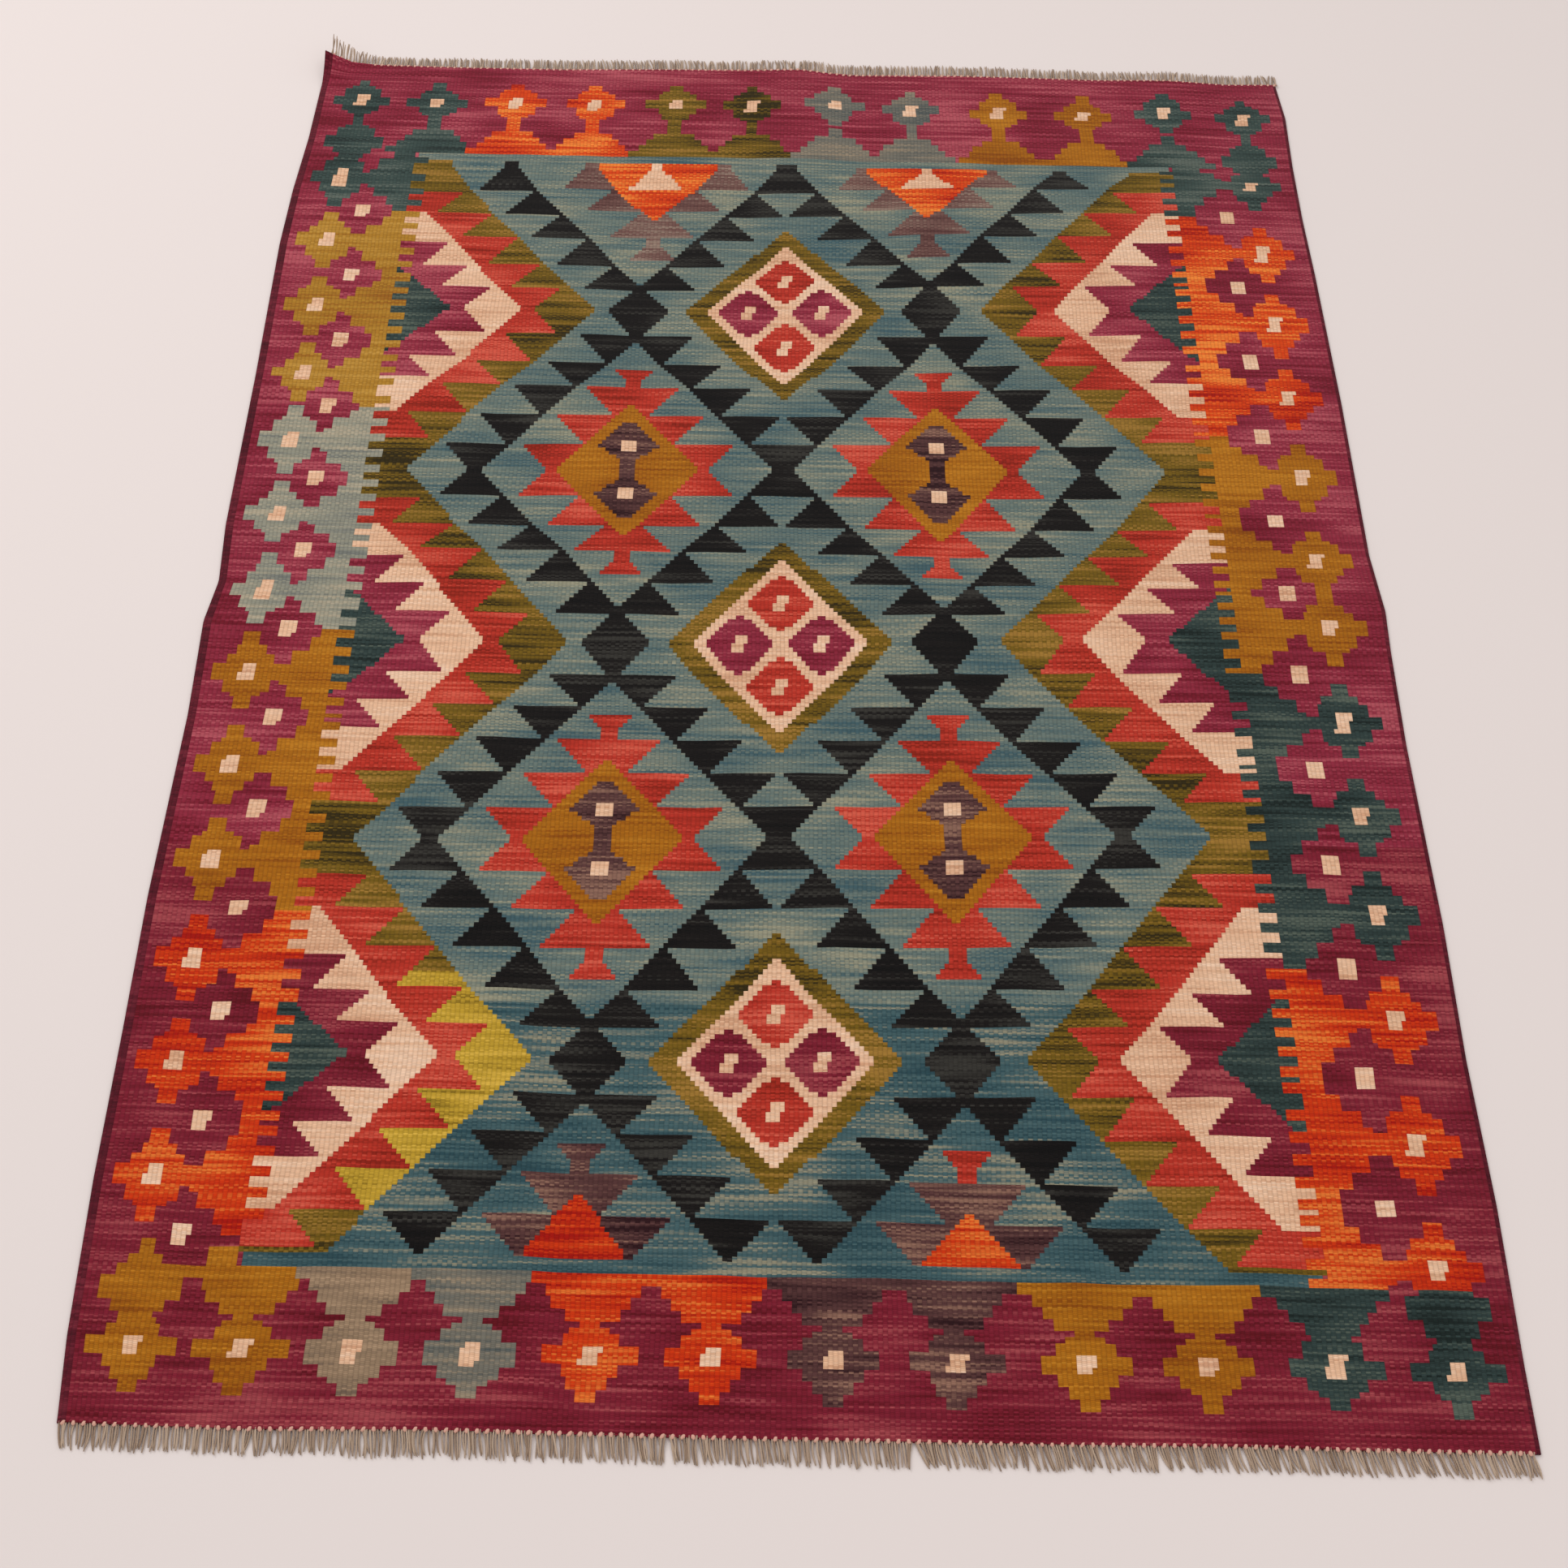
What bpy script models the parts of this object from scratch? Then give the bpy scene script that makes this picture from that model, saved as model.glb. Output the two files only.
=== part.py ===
"""A kilim rug lying flat, with its far left corner curled up: the woven cloth, and the
fringe of loose warp ends at each end of it.

Metres, +Z up. X runs across the rug. Y runs along it, from the near end at -Y to the far
end at +Y. The origin is on the floor, under the middle of the rug and its fringes.
"""

import bpy
import numpy as np

CLOTH_WIDTH = 1.000
CLOTH_LENGTH = 1.470
CLOTH_THICKNESS = 0.003
FRINGE_THICKNESS = 0.002
FRINGE_ROOT = 0.004  # unbroken strip of yarn between the cloth and the gaps
CLEARANCE = 0.0003  # between the cloth and each fringe
CURL_REACH = 0.032  # from the curled corner to where the cloth starts to rise
CURL_HEIGHT = 0.018

COLUMNS = 28
ROWS = 44
CROWDING = 1.8  # over 1, the mesh is finer towards the curled corner

# How far each selvedge stands out from a straight line
SIDES = (
    # from_near_end, left_out, right_out
    (0.000, 0.001, 0.001),
    (0.060, 0.006, 0.001),
    (0.180, 0.010, 0.003),
    (0.300, 0.011, 0.001),
    (0.420, 0.013, 0.003),
    (0.600, 0.011, 0.001),
    (0.700, 0.014, 0.003),
    (0.745, 0.008, 0.005),
    (0.810, 0.012, 0.000),
    (1.000, 0.013, 0.001),
    (1.180, 0.016, -0.001),
    (1.260, 0.014, -0.003),
    (1.340, 0.009, -0.003),
    (1.420, 0.007, -0.001),
    (1.470, 0.005, -0.005),
)

# How far each end stands out from a straight line
ENDS = (
    # from_left, near_out, far_out
    (0.000, 0.001, -0.008),
    (0.130, 0.003, -0.009),
    (0.240, 0.001, -0.007),
    (0.330, 0.002, -0.003),
    (0.440, 0.003, 0.002),
    (0.490, 0.003, 0.006),
    (0.540, 0.003, -0.002),
    (0.660, 0.003, 0.003),
    (0.800, 0.002, 0.002),
    (0.880, 0.003, 0.006),
    (0.940, 0.003, 0.001),
    (1.000, 0.003, 0.004),
)

# The clumps that each fringe has fallen into, with bare floor between one and the next
NEAR_CLUMPS = (
    # from_left, to, length, lean
    (0.001, 0.126, 0.0180, 0.001),
    (0.133, 0.186, 0.0175, 0.001),
    (0.190, 0.299, 0.0190, 0.002),
    (0.304, 0.404, 0.0190, 0.002),
    (0.413, 0.570, 0.0185, 0.002),
    (0.581, 0.736, 0.0180, 0.004),
    (0.743, 0.994, 0.0175, 0.004),
)
FAR_CLUMPS = (
    # from_left, to, length, lean
    (0.002, 0.111, 0.0165, 0.000),
    (0.117, 0.274, 0.0185, -0.001),
    (0.280, 0.391, 0.0190, -0.002),
    (0.396, 0.486, 0.0180, -0.001),
    (0.491, 0.629, 0.0190, 0.000),
    (0.635, 0.786, 0.0190, 0.000),
    (0.791, 0.861, 0.0175, 0.000),
    (0.866, 0.983, 0.0180, 0.001),
    (0.988, 0.998, 0.0175, 0.001),
)

CLOTH_COLOUR = (0.20, 0.03, 0.05, 1.0)
FRINGE_COLOUR = (0.42, 0.32, 0.24, 1.0)
WOOL_ROUGHNESS = 0.95
COTTON_ROUGHNESS = 0.90


def read(table, column, at):
    """The value that a column of a table gives at a place between its rows."""
    places, *values = zip(*table)
    return float(np.interp(at, places, values[column]))


def across(share, along):
    """X of the point at this share of the width, this far from the near end."""
    left = -read(SIDES, 0, along)
    right = CLOTH_WIDTH + read(SIDES, 1, along)
    return left + share * (right - left)


def cloth_share(column):
    """Share of the width at one of the cloth's columns, which crowd to the curled side."""
    return (column / COLUMNS) ** CROWDING


def near_edge(x):
    return -read(ENDS, 0, x)


def far_edge(x):
    return CLOTH_LENGTH + read(ENDS, 1, x)


def lift(x, y):
    """Height of the underside: none, but for the curl at the far left corner."""
    corner = np.array((across(0, CLOTH_LENGTH), far_edge(0)))
    outward = np.array((-1, 1)) / np.sqrt(2)
    risen = max(0.0, 1 + (np.array((x, y)) - corner) @ outward / CURL_REACH)
    return CURL_HEIGHT * risen**2


def fabric(name, colour, roughness):
    material = bpy.data.materials.new(name)
    material.use_nodes = True
    shader = material.node_tree.nodes["Principled BSDF"]
    shader.inputs["Base Color"].default_value = colour
    shader.inputs["Roughness"].default_value = roughness
    shader.inputs["Metallic"].default_value = 0.0
    return material


def flat_grid(name, columns, rows, material):
    """A new sheet with (column, row) as each of its points' X and Y, still to be placed."""
    bpy.ops.mesh.primitive_grid_add(x_subdivisions=columns, y_subdivisions=rows, size=1)
    sheet = bpy.context.object
    sheet.name = name
    sheet.data.name = name
    sheet.data.materials.append(material)
    for point in sheet.data.vertices:
        point.co.x = round((point.co.x + 0.5) * columns)
        point.co.y = round((point.co.y + 0.5) * rows)
    return sheet


def thicken(sheet, thickness):
    """Thickness above the underside that the sheet's points give."""
    solid = sheet.modifiers.new("Thickness", "SOLIDIFY")
    solid.thickness = thickness
    solid.offset = 1


def make_cloth():
    wool = fabric("kilim_wool", CLOTH_COLOUR, WOOL_ROUGHNESS)
    cloth = flat_grid("kilim_cloth", COLUMNS, ROWS, wool)
    for point in cloth.data.vertices:
        share = cloth_share(point.co.x)
        length_share = 1 - (1 - point.co.y / ROWS) ** CROWDING
        along = length_share * CLOTH_LENGTH
        x = across(share, along)
        y = near_edge(x) + length_share * (far_edge(x) - near_edge(x))
        point.co = (x, y, lift(x, y))
    thicken(cloth, CLOTH_THICKNESS)
    return cloth


def make_fringe(name, clumps, along, edge, outward, cotton):
    """One comb: a root strip along an end of the cloth, and a tooth for each clump.

    along is the cloth's end as a distance from its near end, edge gives that end's Y, and
    outward is the way the yarns lie, -1 or 1. The comb has a column at each of the cloth's
    own, so that the two keep the same line.
    """
    cloth_columns = [across(cloth_share(column), along) for column in range(COLUMNS + 1)]
    cloth_end = [edge(x) for x in cloth_columns]
    first, last = clumps[0][0], clumps[-1][1]
    sides = {place for start, end, _, _ in clumps for place in (start, end)}
    stations = sorted(sides | {x for x in cloth_columns if first < x < last})
    comb = flat_grid(name, len(stations) - 1, 2, cotton)
    if outward < 0:
        comb.data.flip_normals()

    clump_of = []
    for x in stations:
        clump_of.append(next((clump for clump in clumps if clump[0] <= x <= clump[1]), None))
    gaps = []
    for face in comb.data.polygons:
        middle = np.mean([stations[int(comb.data.vertices[k].co.x)] for k in face.vertices])
        in_clump = any(start < middle < end for start, end, _, _ in clumps)
        if face.center.y > 1 and not in_clump:
            gaps.append(face.index)
    for point in comb.data.vertices:
        column, row = int(point.co.x), int(point.co.y)
        _, _, length, lean = clump_of[column] or clumps[0]
        depth = (CLEARANCE, FRINGE_ROOT, length)[row]
        x = stations[column] + lean * depth / length
        y = np.interp(stations[column], cloth_columns, cloth_end) + outward * depth
        point.co = (x, y, lift(x, y))

    bpy.ops.object.mode_set(mode="EDIT")
    bpy.ops.mesh.select_mode(type="FACE")
    bpy.ops.mesh.select_all(action="DESELECT")
    bpy.ops.object.mode_set(mode="OBJECT")
    for index in gaps:
        comb.data.polygons[index].select = True
    bpy.ops.object.mode_set(mode="EDIT")
    bpy.ops.mesh.delete(type="FACE")
    bpy.ops.object.mode_set(mode="OBJECT")
    thicken(comb, FRINGE_THICKNESS)
    return comb


def centre(pieces):
    """Moves the pieces together so that the middle of them all is at X and Y zero."""
    points = np.array([point.co for piece in pieces for point in piece.data.vertices])
    middle = (points.min(axis=0) + points.max(axis=0)) / 2
    for piece in pieces:
        piece.location = (-middle[0], -middle[1], 0)


def main():
    for old in list(bpy.data.objects):
        bpy.data.objects.remove(old)
    cotton = fabric("warp_cotton", FRINGE_COLOUR, COTTON_ROUGHNESS)
    pieces = [
        make_cloth(),
        make_fringe("fringe_near", NEAR_CLUMPS, 0, near_edge, -1, cotton),
        make_fringe("fringe_far", FAR_CLUMPS, CLOTH_LENGTH, far_edge, 1, cotton),
    ]
    centre(pieces)
    rug = bpy.data.collections.new("kilim_rug")
    bpy.context.scene.collection.children.link(rug)
    for piece in pieces:
        for holder in list(piece.users_collection):
            holder.objects.unlink(piece)
        rug.objects.link(piece)


main()
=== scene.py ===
import math

import bpy
import numpy as np
from mathutils import Euler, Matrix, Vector


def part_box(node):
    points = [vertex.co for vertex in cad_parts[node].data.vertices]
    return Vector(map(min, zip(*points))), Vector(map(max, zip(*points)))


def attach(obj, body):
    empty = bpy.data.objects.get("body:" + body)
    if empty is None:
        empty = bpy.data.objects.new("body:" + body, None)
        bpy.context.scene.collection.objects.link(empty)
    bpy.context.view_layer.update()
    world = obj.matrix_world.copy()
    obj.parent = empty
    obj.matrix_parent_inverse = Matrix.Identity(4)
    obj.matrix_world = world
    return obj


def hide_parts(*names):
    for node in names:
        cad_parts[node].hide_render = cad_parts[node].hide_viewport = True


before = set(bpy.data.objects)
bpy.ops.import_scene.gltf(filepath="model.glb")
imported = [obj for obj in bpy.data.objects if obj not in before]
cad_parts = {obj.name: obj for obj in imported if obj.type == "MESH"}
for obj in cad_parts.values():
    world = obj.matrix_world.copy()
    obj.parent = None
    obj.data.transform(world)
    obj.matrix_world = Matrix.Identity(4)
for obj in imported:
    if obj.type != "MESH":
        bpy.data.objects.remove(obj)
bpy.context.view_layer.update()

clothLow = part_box("kilim_cloth")[0]

# Metres. x runs from the straight line of the left selvedge and y from that of the near end,
# as in the tables below, and toFloor() puts such a point in the frame.

cloth = {
    "width": 1.000,
    "length": 1.470,
    "thickness": 0.003,
    "selvedgeThickness": 0.0016,
    "curlReach": 0.032,  # from the curled corner to where the cloth starts to rise
    "curlHeight": 0.018,
    "swell": 0.0004,  # soft unevenness of the upper side
    "wander": 0.0007,  # how far the weaver's lines stray
    "longestFace": 8,  # warps
}

sides = (
    # fromNearEnd, leftOut, rightOut
    (0.000, 0.001, 0.001),
    (0.060, 0.006, 0.001),
    (0.180, 0.010, 0.003),
    (0.300, 0.011, 0.001),
    (0.420, 0.013, 0.003),
    (0.600, 0.011, 0.001),
    (0.700, 0.014, 0.003),
    (0.745, 0.008, 0.005),
    (0.810, 0.012, 0.000),
    (1.000, 0.013, 0.001),
    (1.180, 0.016, -0.001),
    (1.260, 0.014, -0.003),
    (1.340, 0.009, -0.003),
    (1.420, 0.007, -0.001),
    (1.470, 0.005, -0.005),
)

ends = (
    # fromLeft, nearOut, farOut
    (0.000, 0.001, -0.008),
    (0.130, 0.003, -0.009),
    (0.240, 0.001, -0.007),
    (0.330, 0.002, -0.003),
    (0.440, 0.003, 0.002),
    (0.490, 0.003, 0.006),
    (0.540, 0.003, -0.002),
    (0.660, 0.003, 0.003),
    (0.800, 0.002, 0.002),
    (0.880, 0.003, 0.006),
    (0.940, 0.003, 0.001),
    (1.000, 0.003, 0.004),
)


def column(table, number):
    return [row[number] for row in table]


def sideOut(y, number):
    return np.interp(y, column(sides, 0), column(sides, number))


def endOut(x, number):
    return np.interp(x, column(ends, 0), column(ends, number))


planOrigin = (clothLow[0] + max(column(sides, 1)), clothLow[1] + max(column(ends, 1)))


def toFloor(x, y):
    return x + planOrigin[0], y + planOrigin[1]


cornerX = -sideOut(cloth["length"], 1)
cornerY = cloth["length"] + endOut(0, 2)


def curlLift(x, y):  # height of the underside, and its slopes across and along the rug
    outward = (-(x - cornerX) + (y - cornerY)) / math.sqrt(2)
    risen = np.maximum(0, 1 + outward / cloth["curlReach"])
    slope = 2 * cloth["curlHeight"] * risen / cloth["curlReach"] / math.sqrt(2)
    return cloth["curlHeight"] * risen**2, -slope, slope


# The weaver's chart. A column is one pair of warps and a row is about 9 mm of weft.

chart = {
    "step": 0.00703,  # width of one pair of warps
    "middle": 0.4779,  # where column 0 is
    "leftColumn": -69.5,
    "rightColumn": 74.5,
    "nearRow": -80.0,
    "farRow": 86.5,
    "leftJoint": (-53.3, -51.7),  # fingers that join the field to the side borders
    "rightJoint": (54.2, 56.2),
    "finger": 1.02,
    "nearGuard": (-67.0, -65.5),
    "farGuard": (69.5, 71.0),
    "nodeGap": 46.0,  # rows from one row of black nodes to the next
    "cellColumn": 20,  # the middle of the gold cells, on either side
    "nearPartTo": -50,
    "farPartFrom": 54,
    "tealTo": -40,
}

rowPlaces = (
    # row, y in the middle of the rug
    (-80.0, 0.0000),
    (-67.0, 0.1150),
    (-65.5, 0.1255),
    (-57.5, 0.1905),
    (-46.0, 0.2850),
    (-38.5, 0.3470),
    (-34.5, 0.3850),
    (-23.0, 0.4900),
    (-11.5, 0.5865),
    (-3.5, 0.6548),
    (0.0, 0.6900),
    (11.5, 0.7930),
    (15.5, 0.8235),
    (23.0, 0.8935),
    (34.5, 0.9970),
    (38.5, 1.0275),
    (46.0, 1.0990),
    (53.5, 1.1610),
    (57.5, 1.2000),
    (61.5, 1.2345),
    (65.5, 1.2700),
    (69.5, 1.3170),
    (71.0, 1.3280),
    (86.5, 1.4700),
)

weftRise = {
    # how far the weft strays from its place in the middle, at y and at these x
    "x": (0.000, 0.230, 0.338, 0.478, 0.618, 0.740, 0.870, 1.000),
    0.125: (0.000, 0.000, 0.000, 0.000, 0.000, -0.001, -0.001, -0.001),
    0.190: (0.001, 0.001, 0.001, 0.000, -0.001, 0.000, 0.001, 0.001),
    0.285: (-0.001, 0.000, -0.002, 0.000, 0.005, 0.009, 0.011, 0.011),
    0.490: (-0.012, -0.010, -0.005, 0.000, 0.004, 0.009, 0.012, 0.014),
    0.587: (-0.006, -0.004, -0.003, 0.000, 0.004, 0.007, 0.012, 0.015),
    0.690: (-0.006, -0.005, -0.003, 0.000, 0.008, 0.014, 0.017, 0.017),
    0.793: (-0.006, -0.004, -0.002, 0.000, 0.000, 0.005, 0.010, 0.013),
    0.894: (-0.012, -0.010, -0.004, 0.000, 0.004, 0.007, 0.012, 0.014),
    0.997: (-0.004, -0.003, -0.003, 0.000, 0.003, 0.010, 0.014, 0.016),
    1.099: (-0.004, -0.002, -0.001, 0.000, 0.010, 0.015, 0.024, 0.026),
    1.130: (-0.002, -0.001, -0.001, 0.003, 0.016, 0.022, 0.026, 0.027),
    1.272: (-0.001, -0.001, -0.001, 0.003, 0.014, 0.023, 0.026, 0.026),
    1.322: (-0.002, -0.002, -0.001, 0.000, 0.001, 0.002, 0.003, 0.003),
    1.470: (0.000, 0.000, 0.000, 0.000, 0.000, 0.000, 0.000, 0.000),
}

warps = int(round((chart["rightColumn"] - chart["leftColumn"]) * 2))
picks = int(round((chart["farRow"] - chart["nearRow"]) * 2))
columnLines = np.linspace(chart["leftColumn"], chart["rightColumn"], warps + 1)
rowLines = np.linspace(chart["nearRow"], chart["farRow"], picks + 1)
u, v = np.meshgrid((columnLines[1:] + columnLines[:-1]) / 2, (rowLines[1:] + rowLines[:-1]) / 2)

yarns = {
    # name: pale, middle and deep dye lots, as screen colours
    "maroon": ((162, 70, 76), (124, 28, 46), (94, 12, 24)),
    "madder": ((178, 82, 93), (141, 40, 60), (110, 18, 35)),
    "selvedge": ((112, 34, 48), (88, 20, 34), (70, 14, 26)),
    "sage": ((149, 146, 124), (103, 117, 111), (64, 91, 98)),
    "teal": ((146, 140, 118), (68, 95, 99), (42, 71, 79)),
    "black": ((54, 52, 48), (22, 18, 17), (11, 9, 9)),
    "ivory": ((239, 201, 172), (230, 184, 150), (207, 154, 120)),
    "red": ((214, 92, 72), (184, 50, 36), (136, 31, 16)),
    "olive": ((158, 117, 49), (113, 87, 19), (48, 38, 10)),
    "lime": ((217, 176, 69), (187, 150, 45), (133, 105, 25)),
    "gold": ((187, 121, 29), (166, 100, 14), (139, 73, 6)),
    "amber": ((189, 141, 59), (171, 122, 38), (150, 93, 24)),
    "orange": ((240, 134, 54), (214, 65, 14), (164, 20, 6)),
    "flame": ((230, 120, 48), (204, 53, 9), (164, 17, 5)),
    "darkTeal": ((86, 96, 86), (47, 62, 60), (24, 35, 33)),
    "greyTeal": ((93, 102, 94), (57, 73, 69), (36, 46, 44)),
    "plum": ((142, 104, 88), (87, 54, 53), (44, 17, 22)),
    "mauve": ((148, 126, 112), (112, 79, 73), (84, 51, 49)),
    "stone": ((164, 136, 109), (144, 119, 95), (113, 94, 79)),
    "mist": ((174, 162, 139), (145, 143, 127), (116, 118, 112)),
    "slate": ((148, 132, 111), (113, 109, 99), (79, 85, 84)),
}
yarnNumber = {name: number for number, name in enumerate(yarns)}
pattern = np.full(u.shape, yarnNumber["maroon"])


def paint(where, yarn):
    pattern[where] = yarnNumber[yarn]


inField = (u > chart["leftJoint"][0]) & (u < chart["rightJoint"][1])
inField &= (v > chart["nearGuard"][1]) & (v < chart["farGuard"][0])


nodeGap = chart["nodeGap"]
fromNode = np.abs((v + nodeGap / 2) % nodeGap - nodeGap / 2)
fromCrossing = nodeGap / 2 - fromNode
fromCell = np.abs(np.abs(u) - chart["cellColumn"])
nearPart = v < chart["nearPartTo"]
farPart = v > chart["farPartFrom"]


def diamond(across, along, halfWidth, halfHeight):
    return across / halfWidth + along / halfHeight < 1


def paintField():
    paint(inField, "sage")
    paint(inField & (v < chart["tealTo"]), "teal")


lattice = {
    "firstTooth": 3.5,  # rows from a node to the flat side of the first tooth
    "toothRows": 4.0,
    "toothWidth": 8.0,
    "overlap": 0.9,  # of the teeth, along the smooth side
    "node": (4.4, 4.2),
    "stem": 1.0,
    "reach": 46,  # columns from the middle
}


def paintLattice():
    tooth = np.floor((fromNode - lattice["firstTooth"]) / lattice["toothRows"])
    flat = lattice["firstTooth"] + tooth * lattice["toothRows"]
    start = flat - lattice["firstTooth"]
    inner = fromNode - lattice["firstTooth"] - lattice["overlap"]
    outer = start + lattice["toothWidth"] - (fromNode - flat)
    teeth = (tooth >= 0) & (fromCell > inner) & (fromCell < outer)
    node = diamond(fromCell, fromNode, *lattice["node"]) | (fromCell < lattice["stem"])
    node &= fromNode < lattice["firstTooth"]
    paint((teeth | node) & (np.abs(u) < lattice["reach"]) & inField, "black")


cell = {
    "tiers": ((3.5, 13.9), (7.5, 9.7), (11.5, 6.1)),  # rows from the middle, half width there
    "bud": (12.5, 14.5, 2.9),  # from, to, half width
    "gold": (9.1, 9.0),  # half width, half height
    "leftFlame": (8.3, 10.0),
    "rightFlame": (8.3, 8.9),
    "eyeAt": 3.2,
    "eyeHalfWidth": 4.2,
    "eyeOuterSlope": 1.1,
    "eyeInnerWidth": 3.6,
    "eyeInnerSlope": 1.3,
    "eyeReach": 3.5,
    "pupil": 0.9,
}

farCell = {
    "leftMiddle": 18.6,  # a little off the others' columns
    "rightMiddle": 20.2,
    "tiers": ((2.8, 13.0), (6.7, 9.8), (11.2, 6.1)),
    "bud": (12.3, 14.5, 3.3),
    "orange": (8.9, 8.2),
    "tent": (3.9, 3.2),
}


def paintTiers(area, across, tiers, bud, yarn, budYarn):
    # Stacked halves of a cell, each flat on its outer side, with a bud on top
    start = 0.0
    for flat, halfWidth in tiers:
        here = area & (fromCrossing > start) & (fromCrossing < flat)
        paint(here & (across < halfWidth - (flat - fromCrossing)), yarn)
        start = flat
    low, high, halfWidth = bud
    tip = (fromCrossing > low) & (across < halfWidth - (high - fromCrossing))
    stalk = (fromCrossing > start) & (across < 1)
    paint(area & (fromCrossing < high) & (tip | stalk), budYarn)


def paintCells():
    cells = (np.abs(u) < 40) & inField
    middleCells = cells & ~nearPart & ~farPart
    paintTiers(middleCells, fromCell, cell["tiers"], cell["bud"], "red", "red")
    paintTiers(cells & nearPart & (u > 0), fromCell, cell["tiers"], cell["bud"], "plum", "red")
    paintTiers(cells & nearPart & (u < 0), fromCell, cell["tiers"], cell["bud"], "plum", "plum")
    farMiddle = np.where(u < 0, farCell["leftMiddle"], farCell["rightMiddle"])
    fromFarCell = np.abs(np.abs(u) - farMiddle)
    paintTiers(cells & farPart, fromFarCell, farCell["tiers"], farCell["bud"], "mauve", "mauve")

    paint(middleCells & diamond(fromCell, fromCrossing, *cell["gold"]), "gold")
    paint(cells & farPart & diamond(fromFarCell, fromCrossing, *farCell["orange"]), "orange")
    for side, size in ((u < 0, cell["leftFlame"]), (u > 0, cell["rightFlame"])):
        paint(cells & nearPart & side & diamond(fromCell, fromCrossing, *size), "flame")

    outwards = fromCrossing - cell["eyeAt"]
    outer = fromCell < cell["eyeHalfWidth"] - cell["eyeOuterSlope"] * outwards
    inner = fromCell < cell["eyeInnerWidth"] + cell["eyeInnerSlope"] * outwards
    eye = np.where(outwards > 0, outer, inner)
    eye |= (fromCell < 1) & (fromCrossing < cell["eyeAt"])
    paint(middleCells & eye & (outwards < cell["eyeReach"]), "plum")
    paint(middleCells & (fromCell < 1) & (np.abs(outwards) < cell["pupil"]), "ivory")
    halfWidth, base = farCell["tent"]
    tent = (fromCrossing < base) & (fromFarCell < halfWidth * fromCrossing / base + 0.4)
    paint(cells & farPart & tent, "ivory")


medallion = {
    # half width, half height
    "olive": (14.0, 13.3),
    "ivory": (10.9, 10.6),
    "petal": (4.3, 3.9),
    "petalAt": 5.0,
    "pupil": 0.8,
    "pupilSlant": 0.5,
}


def paintMedallions():
    across = np.abs(u)
    paint(inField & diamond(across, fromNode, *medallion["olive"]), "olive")
    paint(inField & diamond(across, fromNode, *medallion["ivory"]), "ivory")
    fromMiddle = v - nodeGap * np.round(v / nodeGap)
    size = medallion["pupil"]
    for sideways, upwards, yarn in ((0, 1, "red"), (0, -1, "red"), (1, 0, "maroon"), (-1, 0, "maroon")):
        du = u - sideways * medallion["petalAt"]
        dv = fromMiddle - upwards * medallion["petalAt"]
        paint(inField & diamond(np.abs(du), np.abs(dv), *medallion["petal"]), yarn)
        slanted = np.abs(du - medallion["pupilSlant"] * dv)
        paint(inField & (slanted < size) & (np.abs(dv) < size), "ivory")


zigzag = {
    # tip, far side of the first diamond, rows from tooth to tooth, width of a tooth
    "firstTooth": 3.5,
    "left": {"olive": (26.0, 34.2, 4.0, 8.2), "ivory": (35.7, 43.6, 3.5, 8.0), "shade": 45.4},
    "right": {"olive": (26.6, 35.0, 4.0, 8.2), "ivory": (36.7, 45.0, 3.5, 8.4), "shade": 47.2},
    "leftSlope": 0.97,
    "rightSlope": 1.0,
    "ivoryRows": 15.5,
    "lastOliveFrom": 19,  # rows from a node where the last tooth runs on as a full band
    "lastIvoryFrom": 10.5,
    "limeRows": (-61.5, -37),
    "shadeSlope": 1.2,
    "shadeRows": 7,
}


def sawtooth(across, band, slope):
    # A band along a zigzag: smooth towards the middle of the rug, toothed towards the border
    tip, farTip, toothRows, width = band
    smooth = across > tip + slope * fromNode
    tooth = np.floor((fromNode - zigzag["firstTooth"]) / toothRows)
    flat = zigzag["firstTooth"] + tooth * toothRows
    back = tip + slope * flat + width - (fromNode - flat)
    back = np.where(tooth < 0, farTip - fromNode, back)
    return smooth, smooth & (across < back)


def paintZigzags():
    for side, joint, bands, slope in (
        (-1, chart["leftJoint"][0], zigzag["left"], zigzag["leftSlope"]),
        (1, chart["rightJoint"][1], zigzag["right"], zigzag["rightSlope"]),
    ):
        across = side * u
        inside = (across > 0) & (across < abs(joint)) & inField
        oliveArea, oliveBand = sawtooth(across, bands["olive"], slope)
        ivoryArea, ivoryBand = sawtooth(across, bands["ivory"], slope)
        ivoryArea &= fromNode < zigzag["ivoryRows"]
        lastOlive = oliveArea & (fromNode > zigzag["lastOliveFrom"])
        lastIvory = ivoryArea & (fromNode > zigzag["lastIvoryFrom"])
        paint(inside & oliveArea, "red")
        paint(inside & (oliveBand | lastOlive), "olive")
        limeFrom, limeTo = zigzag["limeRows"]
        limePart = (side < 0) & (v > limeFrom) & (v < limeTo)
        paint(inside & oliveBand & limePart, "lime")
        paint(inside & ivoryArea, "maroon")
        shade = across > bands["shade"] + zigzag["shadeSlope"] * fromNode
        shade &= fromNode < zigzag["shadeRows"]
        paint(inside & ivoryArea & shade, "darkTeal")
        paint(inside & ivoryArea & (ivoryBand | lastIvory), "ivory")


def paintGuards():
    inside = (u > chart["leftJoint"][0] + 0.5) & (u < chart["rightJoint"][1] - 0.5)
    low, high = chart["nearGuard"]
    paint(inside & (v > low) & (v < high), "teal")
    low, high = chart["farGuard"]
    paint(inside & (v > low) & (v < high), "sage")


flowerTiers = (
    # half height, half width
    (0.95, 4.4),
    (2.3, 2.8),
    (3.0, 1.9),
    (4.5, 0.95),
)


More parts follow.
